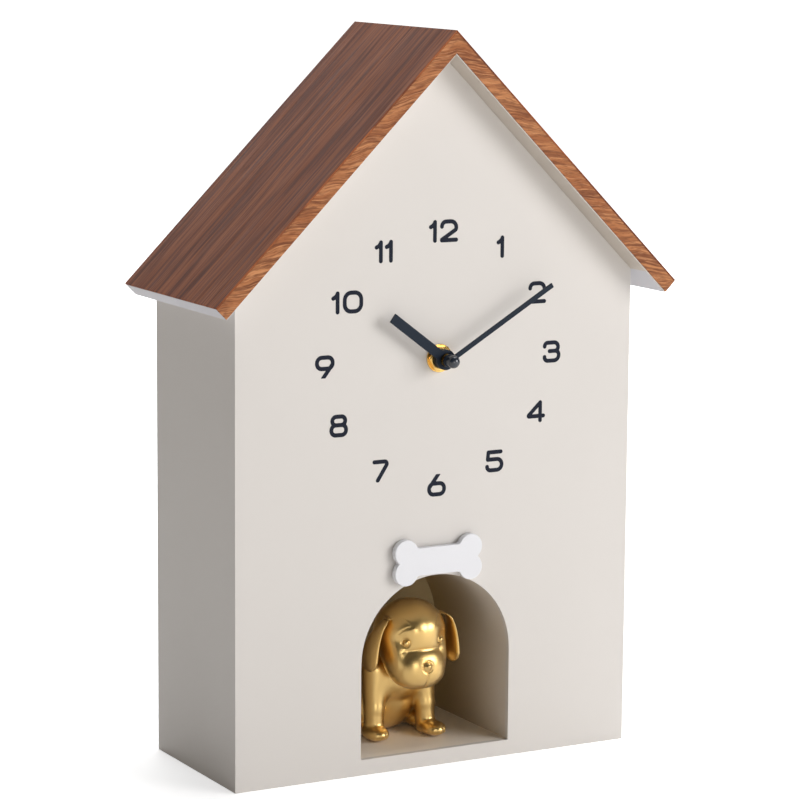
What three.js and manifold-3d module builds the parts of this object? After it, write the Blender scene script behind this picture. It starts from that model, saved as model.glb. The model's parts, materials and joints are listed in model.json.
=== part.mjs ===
// A doghouse-shaped cuckoo clock: quartz hands on a gabled case, and a puppy that slides out of an arch.
// Millimetres, +Z up, the dial faces -Y. The origin is the centre of the case's underside.
import * as THREE from "three";
import { mergeVertices } from "three/addons/utils/BufferGeometryUtils.js";
import Module from "manifold-3d";

const wasm = await Module();
wasm.setup();

// ---- Driving dimensions (y is measured back from the front face) ----
const GAP = 0.05; // between pieces that touch
const FIT = 0.15; // round a piece that slides or turns

const BODY = { width: 184.2, depth: 75, wall: 2.4 };
const ROOF = { ridge: 305, eaveX: 106.3, eaveZ: 199.3, thick: 7, overhang: 12.5, veneer: 0.7, rim: 0.45 };
const ARCH = { half: 35, floor: 6.6, spring: 46.2, depth: 63.5, wall: 1.8 };
const DIAL_Z = 171.5;
const BONE = { x: -0.9, z: 88, lobeX: 15.1, lobeZ: 4.25, lobeR: 5.35, barHalf: 5.8, back: -0.8, front: -3.4 };
const TIME = { hourDeg: -53.1, minuteDeg: 59.35 }; // clockwise from twelve, as the hands rest
const PUPPY = { x: -2.3, pegY: 53, travel: 12, lift: 0.25 };
const RACK = { x: 43.5, width: 5, pinionY: 46, pitchZ: 7.3, module: 0.8, teeth: 12 };
const COVER = { thick: 2.4, back: 74.8 };
const COVER_FRONT = COVER.back - COVER.thick;
const SCREWS = [[-84.5, 8], [84.5, 8], [-84.5, 188], [84.5, 188], [0, 284]];

const TAN = (ROOF.ridge - ROOF.eaveZ) / ROOF.eaveX;
const SLOPE = Math.atan(TAN);
const COS = Math.cos(SLOPE);
const SIN = Math.sin(SLOPE);

// ---- Materials ----
const paint = (color, roughness, metalness = 0) =>
  new THREE.MeshStandardMaterial({ color, roughness, metalness });
const GREIGE = paint(0xe2dbd3, 0.55);
const WHITE = paint(0xe9ebee, 0.5);
const WALNUT = paint(0x7a4e38, 0.5);
const WALNUT_EDGE = paint(0xb0764a, 0.55);
const NAVY = paint(0x2b3744, 0.45);
const BRASS = paint(0xd8a63c, 0.2, 1);
const GOLD = paint(0xb88f45, 0.35, 0.9);
const STEEL = paint(0xb9bcc0, 0.3, 1);
const BLACK = paint(0x1b1c1e, 0.5);
const NYLON = paint(0xe8e6dc, 0.5);
const BOARD = paint(0x1f6b45, 0.45);
const CELL = paint(0x30343a, 0.35);
const COPPER = paint(0xb5673a, 0.35, 0.9);
const RED = paint(0xa8281f, 0.5);

// ---- Solids ----
function solid(geometry) {
  const bare = geometry.index ? geometry.toNonIndexed() : geometry.clone();
  bare.deleteAttribute("normal");
  bare.deleteAttribute("uv");
  const merged = mergeVertices(bare, 1e-4);
  return new wasm.Manifold(new wasm.Mesh({
    numProp: 3,
    vertProperties: merged.attributes.position.array,
    triVerts: new Uint32Array(merged.index.array),
  }));
}

function geometryOf(body) {
  const mesh = body.getMesh();
  return new THREE.BufferGeometry()
    .setAttribute("position", new THREE.BufferAttribute(new Float32Array(mesh.vertProperties), 3))
    .setIndex(new THREE.BufferAttribute(new Uint32Array(mesh.triVerts), 1));
}

const join = (...bodies) => bodies.reduce((a, b) => a.add(b));
const cut = (body, ...tools) => tools.reduce((a, b) => a.subtract(b), body);

// The outline's two axes and the direction it is extruded in.
const FRAMES = {
  x: new THREE.Matrix4().makeBasis(
    new THREE.Vector3(0, 1, 0), new THREE.Vector3(0, 0, 1), new THREE.Vector3(1, 0, 0)),
  y: new THREE.Matrix4().makeBasis(
    new THREE.Vector3(1, 0, 0), new THREE.Vector3(0, 0, 1), new THREE.Vector3(0, -1, 0)),
  z: new THREE.Matrix4(),
};

// An outline extruded along an axis between two stations; across y the outline is in x and z.
function prism(outline, axis, from, to, curveSegments = 8) {
  const geometry = new THREE.ExtrudeGeometry(
    outline, { depth: to - from, bevelEnabled: false, curveSegments });
  geometry.applyMatrix4(FRAMES[axis]);
  const start = axis === "y" ? to : from;
  const shift = ["x", "y", "z"].map((name) => (axis === name ? start : 0));
  return solid(geometry.translate(...shift));
}

const polygon = (points) => new THREE.Shape(points.map(([a, b]) => new THREE.Vector2(a, b)));
const box = (low, high) => solid(new THREE.BoxGeometry(...high.map((h, i) => h - low[i]))
  .translate(...high.map((h, i) => (h + low[i]) / 2)));

function roundedRect(low, high, radius) {
  const [x0, y0] = low;
  const [x1, y1] = high;
  const shape = new THREE.Shape();
  shape.moveTo(x0 + radius, y0);
  shape.lineTo(x1 - radius, y0).absarc(x1 - radius, y0 + radius, radius, -Math.PI / 2, 0);
  shape.lineTo(x1, y1 - radius).absarc(x1 - radius, y1 - radius, radius, 0, Math.PI / 2);
  shape.lineTo(x0 + radius, y1).absarc(x0 + radius, y1 - radius, radius, Math.PI / 2, Math.PI);
  shape.lineTo(x0, y0 + radius).absarc(x0 + radius, y0 + radius, radius, Math.PI, 1.5 * Math.PI);
  return shape;
}

// A turned body: [radius, station] points from one end of the axis to the other.
const TURN = {
  x: new THREE.Matrix4().makeRotationZ(-Math.PI / 2),
  y: new THREE.Matrix4(),
  z: new THREE.Matrix4().makeRotationX(Math.PI / 2),
};
function turned(profile, axis = "y", centre = [0, 0, 0], segments = 20) {
  const points = profile.map(([r, s]) => new THREE.Vector2(r, s));
  return solid(new THREE.LatheGeometry(points, segments).applyMatrix4(TURN[axis]).translate(...centre));
}

function rod(radius, from, to, axis = "y", centre = [0, 0, 0], segments = 20) {
  return turned([[0, from], [radius, from], [radius, to], [0, to]], axis, centre, segments);
}

const tube = (outer, inner, from, to, axis, centre, segments) => cut(
  rod(outer, from, to, axis, centre, segments), rod(inner, from - 1, to + 1, axis, centre, segments));

function ellipsoid(centre, radii, tilt = [0, 0, 0], detail = 12) {
  const geometry = new THREE.SphereGeometry(1, detail, Math.round(detail * 0.7)).scale(...radii);
  return solid(geometry.applyMatrix4(new THREE.Matrix4().makeRotationFromEuler(new THREE.Euler(...tilt)))
    .translate(...centre));
}

// A spur gear's outline: straight-flanked teeth, slim enough to run with backlash.
function gearOutline(teeth, module, phase = 0, bore = 0) {
  const pitch = (teeth * module) / 2;
  const step = (2 * Math.PI) / teeth;
  const flank = [[-0.36, pitch - 1.1 * module], [-0.2, pitch], [-0.09, pitch + 0.85 * module]];
  const corners = [...flank, ...flank.toReversed().map(([a, r]) => [-a, r])];
  const shape = polygon(Array.from({ length: teeth }, (_, i) => corners.map(([a, r]) => {
    const angle = (i + a) * step + phase;
    return [r * Math.cos(angle), r * Math.sin(angle)];
  })).flat());
  if (bore) shape.holes.push(new THREE.Path().absarc(0, 0, bore, 0, 2 * Math.PI, true));
  return shape;
}

function sweep(points, radius, sides = 6, steps = 16) {
  const section = new THREE.Shape(Array.from({ length: sides }, (_, i) => {
    const a = (2 * Math.PI * i) / sides;
    return new THREE.Vector2(radius * Math.cos(a), radius * Math.sin(a));
  }));
  const extrudePath = new THREE.CatmullRomCurve3(points.map((p) => new THREE.Vector3(...p)));
  return solid(new THREE.ExtrudeGeometry(section, { steps, extrudePath, bevelEnabled: false }));
}

// ---- The scene: every group hangs under the clock, whose y starts at the front face ----
const root = new THREE.Group();
const clock = new THREE.Group();
clock.position.y = -BODY.depth / 2;
root.add(clock);

function place(parent, name, material, body) {
  const mesh = new THREE.Mesh(geometryOf(body), material);
  mesh.name = name;
  parent.add(mesh);
}

// ---- Case ----
const slopeZ = (x, inset) => ROOF.ridge - (ROOF.thick + inset) / COS - Math.abs(x) * TAN;

// The gabled section, pulled in by inset from the case's outer faces and from the roof's soffit.
function gable(inset) {
  const x = BODY.width / 2 - inset;
  const under = inset + GAP;
  const shoulder = slopeZ(x, under);
  return polygon([[-x, inset], [x, inset], [x, shoulder], [0, slopeZ(0, under)], [-x, shoulder]]);
}

function archOutline(grow = 0) {
  const half = ARCH.half + grow;
  const shape = new THREE.Shape();
  shape.moveTo(-half, ARCH.floor - grow);
  shape.lineTo(half, ARCH.floor - grow);
  shape.lineTo(half, ARCH.spring).absarc(0, ARCH.spring, half, 0, Math.PI);
  return shape;
}

function makeCase() {
  const inner = BODY.wall;
  const hollow = prism(gable(inner), "y", inner, BODY.depth + 1);
  const posts = SCREWS.map(([x, z]) => rod(6, 38, COVER_FRONT - GAP, "y", [x, 0, z], 16));
  const trimmed = join(...posts).intersect(prism(gable(1), "y", 1, BODY.depth));
  const pilots = SCREWS.map(([x, z]) => rod(1.5, 58, BODY.depth, "y", [x, 0, z], 12));
  const pegHoles = [-1, 1].map((s) => rod(1.3, -1, 4, "y", [BONE.x + s * 9, 0, BONE.z], 12));
  const shell = join(cut(prism(gable(0), "y", 0, BODY.depth), hollow), trimmed);
  return cut(shell, prism(archOutline(), "y", -1, inner + 1, 24),
    rod(4.3, -1, inner + 1, "y", [0, 0, DIAL_Z]), ...pilots, ...pegHoles);
}

function makeNiche() {
  const front = BODY.wall + GAP;
  const back = ARCH.depth + ARCH.wall;
  const slot = roundedRect(
    [PUPPY.x - 1.8, PUPPY.pegY - PUPPY.travel - 2], [PUPPY.x + 1.8, PUPPY.pegY + 2], 1.7);
  const feet = [[-1, 4], [1, 4], [-1, 57]].map(([side, y]) => box(
    [side * 34.5 - 1.5, y, BODY.wall + GAP], [side * 34.5 + 1.5, y + 7, ARCH.floor - 1]));
  return cut(join(prism(archOutline(ARCH.wall), "y", front, back, 24), ...feet),
    prism(archOutline(), "y", front - 1, ARCH.depth, 24), prism(slot, "z", 0, ARCH.floor + 1, 4));
}

place(clock, "case_shell", GREIGE, makeCase());
place(clock, "niche_tunnel", GREIGE, makeNiche());

function makeBone() {
  const disc = (sx, sz) => rod(BONE.lobeR, BONE.front, BONE.back, "y",
    [BONE.x + sx * BONE.lobeX, 0, BONE.z + sz * BONE.lobeZ], 28);
  const bar = box([BONE.x - BONE.lobeX, BONE.front, BONE.z - BONE.barHalf],
    [BONE.x + BONE.lobeX, BONE.back, BONE.z + BONE.barHalf]);
  const pegs = [-1, 1].map((s) => rod(1.2, BONE.back - 0.2, 2.2, "y", [BONE.x + s * 9, 0, BONE.z], 12));
  return join(bar, disc(-1, -1), disc(-1, 1), disc(1, -1), disc(1, 1), ...pegs);
}
place(clock, "bone_sign", WHITE, makeBone());

// ---- Roof: two mitred boards, veneer on top, an edge band across the front ----
// A strip of one slope between two depths measured down from the roof's outer face.
function slopeStrip(side, top, bottom, startX = GAP) {
  const down = (depth) => {
    const ridge = ROOF.ridge - depth / COS - startX * TAN;
    const eave = [ROOF.eaveX - depth * SIN, ROOF.eaveZ - depth * COS];
    return [[startX, ridge], eave];
  };
  const [a, b] = down(top);
  const [c, d] = down(bottom);
  const points = [a, c, d, b].map(([x, z]) => [side * x, z]);
  return polygon(side > 0 ? points : points.toReversed());
}

function bandOutline() {
  const top = ROOF.veneer + GAP;
  const bottom = ROOF.thick - ROOF.rim;
  const half = [top, bottom].map((depth) => [ROOF.eaveX - depth * SIN, ROOF.eaveZ - depth * COS]);
  return polygon([
    [0, ROOF.ridge - top / COS], [-half[0][0], half[0][1]], [-half[1][0], half[1][1]],
    [0, ROOF.ridge - bottom / COS], half[1], half[0],
  ]);
}

for (const [name, side] of [["left", -1], ["right", 1]]) {
  const bandBack = -ROOF.overhang + 0.6;
  place(clock, `roof_board_${name}`, WHITE,
    prism(slopeStrip(side, ROOF.veneer + GAP, ROOF.thick), "y", bandBack + GAP, BODY.depth));
  place(clock, `roof_veneer_${name}`, WALNUT,
    prism(slopeStrip(side, 0, ROOF.veneer), "y", -ROOF.overhang, BODY.depth));
}
place(clock, "roof_edge_band", WALNUT_EDGE, prism(bandOutline(), "y", -ROOF.overhang, -ROOF.overhang + 0.6));

// ---- Quartz movement: its own group, centred on the hands' axis ----
const movement = new THREE.Group();
movement.position.z = DIAL_Z;
clock.add(movement);

const CASE = { half: 28, front: 3.4, rear: 18.5, wall: 1.4 };
const GEAR = { module: 0.4, centre: 12, minute: 36, pinion: 10, hour: 40 };
const SPACING = (GEAR.module * (GEAR.centre + GEAR.minute)) / 2;
const FINE_MODULE = (2 * SPACING) / (GEAR.pinion + GEAR.hour);
const CELL_SIZE = { r: 7.1, length: 50 };
const CELL_Z = -19.4;
const at = (z) => [0, 0, z];

function makeMovementCase() {
  const { half, front, rear, wall } = CASE;
  const outer = prism(roundedRect([-half, -half], [half, half], 3), "y", front, rear, 4);
  const inner = roundedRect([-half + wall, -half + wall], [half - wall, half - wall], 2);
  const hollow = prism(inner, "y", front + wall, rear + 1, 4);
  const shelf = box([-half + 1, front + 1, -11.4], [half - 1, rear - 0.2, -10.4]);
  const bush = rod(3.95, -3.6, front + 1);
  const posts = [[14, SPACING], [6, 2 * SPACING]]
    .map(([end, up]) => rod(0.6, front + 1, end, "y", at(up), 12));
  return cut(join(cut(outer, hollow), shelf, bush, ...posts), rod(2.85, -5, front + 2));
}

function hexOutline(acrossFlats, bore) {
  const r = acrossFlats / 2 / Math.cos(Math.PI / 6);
  const shape = polygon(Array.from({ length: 6 }, (_, i) => [
    r * Math.cos((i * Math.PI) / 3 + 0.2), r * Math.sin((i * Math.PI) / 3 + 0.2)]));
  shape.holes.push(new THREE.Path().absarc(0, 0, bore, 0, 2 * Math.PI, true));
  return shape;
}

function makeMovementCover() {
  const { half, rear } = CASE;
  const outline = roundedRect([-half, -10.2], [half, half], 3);
  const plate = prism(outline, "y", rear + GAP, rear + 1.5, 4);
  return cut(plate, rod(2.2, rear - 1, rear + 3, "y", at(2 * SPACING), 20));
}

place(movement, "movement_case", BLACK, makeMovementCase());
place(movement, "movement_cover", BLACK, makeMovementCover());
place(movement, "rubber_gasket", BLACK, tube(9, 4.2, BODY.wall + GAP, CASE.front - GAP));
place(movement, "brass_washer", BRASS, tube(5.8, 4.1, -0.9, -GAP, "y", at(0), 36));
const nutBody = prism(hexOutline(9.8, 4.1), "y", -3, -0.95, 12)
  .intersect(turned([[0, -3], [4.9, -3], [5.7, -2.5], [5.7, 0], [0, 0]], "y", at(0), 36));
place(movement, "brass_nut", BRASS, nutBody);
place(movement, "movement_cell", CELL, join(rod(CELL_SIZE.r, -25, 24, "x", [0, 12.3, CELL_Z], 24),
  rod(2.6, 24, 25.2, "x", [0, 12.3, CELL_Z], 16)));
place(movement, "stepper_coil", COPPER, rod(3.2, -8, 8, "x", [-15, 10, 20], 16));
place(movement, "stepper_stator", STEEL,
  cut(box([-25.5, 7, 10], [-4.5, 9, 16]), rod(2.5, 6, 10, "y", [-9, 0, 13], 16)));

const HOUR_SEAT = 2.6;
place(movement, "hour_pipe", BRASS, tube(HOUR_SEAT - GAP, 1.75, -7, 9.5));
place(movement, "hour_wheel", NYLON, prism(gearOutline(GEAR.hour, FINE_MODULE, 0, HOUR_SEAT), "y", 6.2, 7.4));
place(movement, "minute_arbor", BRASS, join(rod(1.5, -11.6, 15),
  prism(gearOutline(GEAR.centre, GEAR.module), "y", 10.2, 12.6)));
const wheelPhase = Math.PI / 2 + Math.PI / GEAR.minute;
place(movement, "minute_wheel", NYLON, cut(
  join(prism(gearOutline(GEAR.minute, GEAR.module, wheelPhase), "y", 10.6, 12.2).translate(...at(SPACING)),
    prism(gearOutline(GEAR.pinion, FINE_MODULE, -Math.PI / 2 + Math.PI / GEAR.pinion), "y", 5.6, 10.7)
      .translate(...at(SPACING))),
  rod(0.75, 0, 20, "y", at(SPACING), 12)));
const knob = { r: 6, from: CASE.rear + 2, to: CASE.rear + 8 };
place(movement, "setting_knob", NYLON, cut(join(
  prism(gearOutline(GEAR.centre, GEAR.module), "y", 10.6, 12.2).translate(...at(2 * SPACING)),
  rod(1.9, 6.4, knob.from + 0.5, "y", at(2 * SPACING), 20),
  prism(gearOutline(16, 0.72), "y", knob.from, knob.to).translate(...at(2 * SPACING))),
rod(0.75, 6, 9, "y", at(2 * SPACING), 12)));

// ---- Hands: bars from a hub, drawn at twelve and turned to the time shown ----
function makeHand(length, width, hub, hubBack, hubFront, barBack, barFront, bore) {
  const bar = box([-width / 2, barFront, 0], [width / 2, barBack, length]);
  return cut(join(bar, rod(hub, hubFront, hubBack)), rod(bore, hubFront - 1, hubBack + 1));
}
const hands = {
  hour: [30.9, 4.1, 4.2, -4.6, -6.3, -5.5, -6.3, HOUR_SEAT],
  minute: [55.8, 2, 2.7, -8.4, -9.8, -9, -9.8, 1.55],
};
for (const [name, degrees] of [["hour", TIME.hourDeg], ["minute", TIME.minuteDeg]]) {
  const hand = new THREE.Group();
  hand.rotation.y = THREE.MathUtils.degToRad(degrees);
  movement.add(hand);
  place(hand, `${name}_hand`, NAVY, makeHand(...hands[name]));
}
const dome = Array.from({ length: 6 }, (_, i) => {
  const a = (i / 5) * (Math.PI / 2);
  return [2.55 * Math.cos(a), -12.4 - 2.3 * Math.sin(a)];
}).toReversed();
place(movement, "cap_nut", NAVY, cut(turned([...dome, [2.55, -9.85], [0, -9.85]]), rod(1.55, -11.8, -9)));

// ---- Puppy, its carriage and the geared motor ----
const FLOOR = ARCH.floor + PUPPY.lift;
const mirrored = (make) => [-1, 1].map(make);

function puppyHead(grow = 0) {
  const blob = (centre, radii, tilt) => ellipsoid(centre, radii.map((r) => r + grow), tilt);
  return join(
    blob([0, 19, 53.5], [15.4, 15.2, 14.3]),
    blob([0, 12, 40], [12.6, 10.2, 9.4]),
    ...mirrored((s) => blob([s * 17.8, 17.5, 49.3], [2.8, 7.2, 12.2], [0, s * -0.24, 0])),
    ...mirrored((s) => blob([s * 8.1, 6.6, 51.6], [1.7, 1.4, 1.7])),
    blob([0, 2.2, 42], [2.4, 1.7, 2.1]),
  );
}

function puppyBody() {
  const legs = mirrored((s) => turned([[0, FLOOR + 2], [4.2, FLOOR + 2], [4.1, 22], [4.7, 34], [0, 36]],
    "z", [s * 12.1, 27, 0], 20));
  const paws = mirrored((s) => ellipsoid([s * 12.8, 24, FLOOR + 3.4], [5.2, 6.8, 3.4]));
  const hips = mirrored((s) => ellipsoid([s * 11.5, 44.5, FLOOR + 9], [7.2, 12, 9]));
  const feet = mirrored((s) => ellipsoid([s * 13.5, 36, FLOOR + 2.6], [4.4, 6.5, 2.6]));
  const torso = [ellipsoid([0, 32, 33], [12.6, 11.5, 12.5]), ellipsoid([0, 40, 25], [14, 14.5, 17.5])];
  const rump = ellipsoid([0, 45, FLOOR + 10], [12.5, 12.8, 10]);
  const tail = ellipsoid([0, 56.2, 14], [2.8, 4.2, 7], [0.35, 0, 0]);
  return cut(join(...legs, ...paws, ...hips, ...feet, ...torso, rump, tail), puppyHead(0.3),
    rod(1.7, 0, 13.5, "z", [0, PUPPY.pegY, 0], 16));
}

function makeCarriage() {
  const { module, width, pitchZ, x } = RACK;
  const pitch = Math.PI * module;
  const x0 = x - width / 2;
  const rackY = [PUPPY.pegY - 11, PUPPY.pegY + 17];
  const plate = box([PUPPY.x - 5, PUPPY.pegY - 5, 2.7], [x0 + 1, PUPPY.pegY + 5, 4.5]);
  const bar = box([x0, rackY[0], 2.7], [x0 + width, rackY[1], pitchZ - 1.1 * module]);
  const base = pitchZ - 1.2 * module;
  const tip = pitchZ + 0.85 * module;
  const count = Math.floor((rackY[1] - RACK.pinionY - 0.5) / pitch);
  const toothAt = (i) => {
    const y = RACK.pinionY + (i + 0.5) * pitch;
    return prism(polygon([[y - 0.34 * pitch, base], [y + 0.34 * pitch, base],
      [y + 0.09 * pitch, tip], [y - 0.09 * pitch, tip]]), "x", x0, x0 + width);
  };
  const teeth = Array.from({ length: count + 1 }, (_, i) => toothAt(i - 1));
  const peg = rod(1.5, 4, 13, "z", [PUPPY.x, PUPPY.pegY, 0], 16);
  return join(plate, bar, peg, ...teeth);
}

const puppy = new THREE.Group();
puppy.position.x = PUPPY.x;
clock.add(puppy);
place(puppy, "puppy_head", GOLD, puppyHead());
place(puppy, "puppy_body", GOLD, puppyBody());
place(clock, "rack_carriage", NYLON, makeCarriage());

const PINION_Z = RACK.pitchZ + (RACK.module * RACK.teeth) / 2;
const drive = new THREE.Group();
drive.position.set(RACK.x, RACK.pinionY, PINION_Z);
clock.add(drive);
place(drive, "drive_pinion", NYLON, join(
  prism(gearOutline(RACK.teeth, RACK.module, -Math.PI / 2), "x", -2, 2), rod(1.4, 1, 6, "x", [0, 0, 0], 16)));
place(drive, "motor_gearbox", BRASS, cut(box([4.2, -6, -5], [13, 6, 5]), rod(1.6, 4, 7, "x", [0, 0, 0], 16)));
place(drive, "motor_can", STEEL, cut(join(rod(5.8, 13 + GAP, 27, "x"), rod(2, 26, 28.5, "x", [0, 0, 0], 16)),
  box([12, -7, 5], [28, 7, 7]), box([12, -7, -7], [28, 7, -5])));
place(drive, "motor_bracket", NYLON, cut(
  box([5, -8, BODY.wall + GAP - PINION_Z], [12, 8, 6.5]), box([4, -6.15, -5.15], [14, 6.15, 5.15])));
place(clock, "rack_guide", NYLON, box([RACK.x + 2.8, 22, BODY.wall + GAP], [RACK.x + 4.2, 71, 6]));

// ---- Back cover and what sits on it ----
const PANEL = {
  battery: [[-80, 20], [-48, 78]],
  window: [[-31, 142], [31, 202]],
  board: [[-46, 99], [46, 129]],
};
const CONTROLS = { z: 114, slideX: -30, buttonX: 0, volumeX: 30 };
const SPEAKER = { x: 63, z: 58, r: 20 };

function makeCover() {
  const plate = prism(gable(BODY.wall + FIT), "y", COVER_FRONT, COVER.back);
  const opening = (shape) => prism(shape, "y", COVER_FRONT - 1, COVER.back + 1, 3);
  const slots = [-2, -1, 0, 1, 2].map((i) => {
    const half = Math.sqrt(15.5 ** 2 - (i * 6) ** 2);
    const level = SPEAKER.z + i * 6;
    return opening(roundedRect([SPEAKER.x - half, level - 1.2], [SPEAKER.x + half, level + 1.2], 1.1));
  });
  const hole = (r, x, z) => rod(r, COVER_FRONT - 1, COVER.back + 1, "y", [x, 0, z], 16);
  const screwHoles = SCREWS.flatMap(([x, z]) => [hole(1.8, x, z), rod(3.4, 73.3, 76, "y", [x, 0, z], 16)]);
  const keyhole = [hole(4.5, 0, 252), opening(roundedRect([-2.2, 252], [2.2, 263], 2))];
  const posts = [-42, 42].map((x) => rod(3, 68, COVER_FRONT + 0.5, "y", [x, 0, 124], 14));
  return cut(join(plate, ...posts), ...slots, ...screwHoles, ...keyhole,
    opening(roundedRect(...PANEL.battery, 2)), opening(roundedRect(...PANEL.window, 5)),
    opening(roundedRect([CONTROLS.slideX - 6, CONTROLS.z - 2], [CONTROLS.slideX + 6, CONTROLS.z + 2], 0.5)),
    hole(3.2, CONTROLS.buttonX, CONTROLS.z), hole(7.2, CONTROLS.volumeX, CONTROLS.z));
}
place(clock, "back_cover", GREIGE, makeCover());

SCREWS.forEach(([x, z], i) => {
  const head = turned([[0, 62], [1.4, 62.6], [1.4, 73.4], [3.1, 73.4], [3.1, 74.2], [2.2, 74.75], [0, 74.75]],
    "y", at(0), 18);
  const cross = [box([-2, 74, -0.35], [2, 76, 0.35]), box([-0.35, 74, -2], [0.35, 76, 2])];
  place(clock, `cover_screw_${i + 1}`, STEEL, cut(head, ...cross).translate(x, 0, z));
});

function makeTray() {
  const [[x0, z0], [x1, z1]] = PANEL.battery;
  const rear = COVER_FRONT - GAP;
  const outer = box([x0 - 2.5, 55.5, z0 - 2.5], [x1 + 2.5, rear, z1 + 2.5]);
  return cut(outer, box([x0 + 0.6, 57, z0 + 0.6], [x1 - 0.6, rear + 1, z1 - 0.6]));
}
place(clock, "battery_tray", BLACK, makeTray());
const CELL_Y = 64.6;
const CELL_PROFILE = [
  [0, -25], [6.7, -25], [CELL_SIZE.r, -24.4], [CELL_SIZE.r, 23.4],
  [6.7, 24], [2.7, 24], [2.7, 25.2], [0, 25.2]];
const CELLS_X = [-71.4, -56.6];
// The two cells point opposite ways.
const cellProfiles = [CELL_PROFILE.map(([r, s]) => [r, -s]).toReversed(), CELL_PROFILE];
CELLS_X.forEach((x, i) => place(clock, `sound_cell_${i + 1}`, CELL,
  turned(cellProfiles[i], "z", [x, CELL_Y, 49.2], 24)));
place(clock, "contact_link", STEEL, box([-77, 60, 76.5], [-51, 70, 76.9]));
CELLS_X.forEach((x, i) => place(clock, `contact_plate_${i + 1}`, STEEL,
  box([x - 5, 60, 21], [x + 5, 70, 21.4])));

const DOOR = {
  low: PANEL.battery[0].map((v) => v + 0.3),
  high: PANEL.battery[1].map((v) => v - 0.3),
  front: 73,
  rear: 74.7,
};
const ribs = [0, 1, 2, 3].map((i) => box([-70, 74, 66 + i * 2], [-58, 76, 67 + i * 2]));
place(clock, "battery_door", GREIGE, cut(
  prism(roundedRect(DOOR.low, DOOR.high, 1.8), "y", DOOR.front, DOOR.rear, 3), ...ribs));

const speakerAt = [SPEAKER.x, 0, SPEAKER.z];
place(clock, "speaker_basket", STEEL, turned([
  [14, 64.6], [19.6, 70.8], [SPEAKER.r, 70.8], [SPEAKER.r, 72.3], [17.6, 72.3],
  [17.6, 71], [12.6, 65.8], [8, 65.8], [8, 64.6], [14, 64.6]], "y", speakerAt, 24));
place(clock, "speaker_cone", BLACK, turned([
  [0, 67.3], [5, 66.3], [6, 66.3], [17, 71.4], [17, 71.9], [14, 71.4],
  [5.5, 67.6], [0, 69.4]], "y", speakerAt, 28));
place(clock, "speaker_magnet", STEEL, rod(10, 59.5, 64.5, "y", speakerAt, 28));

const boardFront = 66.2;
const boardRear = 67.8;
const boardPlate = box(
  [PANEL.board[0][0], boardFront, PANEL.board[0][1]], [PANEL.board[1][0], boardRear, PANEL.board[1][1]]);
place(clock, "circuit_board", BOARD,
  cut(boardPlate, ...[-42, 42].map((x) => rod(1.2, 60, 70, "y", [x, 0, 124], 12))));
[-42, 42].forEach((x, i) => place(clock, `board_screw_${i + 1}`, STEEL,
  turned([[0, 64.6], [2.3, 64.6], [2.3, 66.1], [1, 66.1], [1, 67.7], [0, 67.7]], "y", [x, 0, 124], 16)));
place(clock, "sound_chip", BLACK, box([-7, boardFront - 1.8, 104], [7, boardFront - GAP, 112]));
place(clock, "slide_switch_body", STEEL, cut(
  box([CONTROLS.slideX - 6, boardRear + GAP, CONTROLS.z - 3], [CONTROLS.slideX + 6, 71.6, CONTROLS.z + 3]),
  box([CONTROLS.slideX - 4.8, 70, CONTROLS.z - 1.4], [CONTROLS.slideX + 4.8, 72, CONTROLS.z + 1.4])));
place(clock, "slide_switch_knob", BLACK, box([CONTROLS.slideX - 1.6, 70.2, CONTROLS.z - 1.2],
  [CONTROLS.slideX + 1.6, 74.5, CONTROLS.z + 1.2]));
place(clock, "test_switch_body", STEEL, box([CONTROLS.buttonX - 3, boardRear + GAP, CONTROLS.z - 3],
  [CONTROLS.buttonX + 3, 71.2, CONTROLS.z + 3]));
place(clock, "test_button", NYLON, turned([[0, 72.1], [2.95, 72.1], [2.95, 74.2], [2.6, 74.6], [0, 74.6]],
  "y", [CONTROLS.buttonX, 0, CONTROLS.z], 20));
place(clock, "volume_knob", BLACK, cut(
  join(prism(gearOutline(20, 0.62), "y", 70.7, 74.6), rod(3, boardRear + GAP, 71))
    .translate(CONTROLS.volumeX, 0, CONTROLS.z),
  box([CONTROLS.volumeX - 0.5, 74, CONTROLS.z + 1], [CONTROLS.volumeX + 0.5, 76, CONTROLS.z + 8])));

// ---- Leads, hidden inside the case ----
place(clock, "speaker_lead", RED,
  sweep([[56, 60, 68], [52, 55, 82], [40, 56, 96], [34, 62, 104], [30, 65.4, 106]], 0.6));
place(clock, "battery_lead", RED,
  sweep([[-60, 54.8, 74], [-56, 53, 88], [-44, 56, 98], [-36, 62, 104], [-32, 65.4, 106]], 0.6));
place(clock, "motor_lead", RED, sweep([
  [73, 46, 12.2], [80, 47, 20], [84, 50, 50], [70, 52, 88], [46, 56, 98], [38, 65.4, 104]],
  0.6, 6, 24));

export default root;
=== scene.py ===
"""The looks of a doghouse-shaped cuckoo clock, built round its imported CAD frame.

The frame is in metres. Shapes made here are drawn in millimetres and scaled by MM.
"""
import json
import math

import bmesh
import bpy
import numpy as np
from mathutils import Matrix, Vector
from mathutils.geometry import delaunay_2d_cdt


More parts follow.
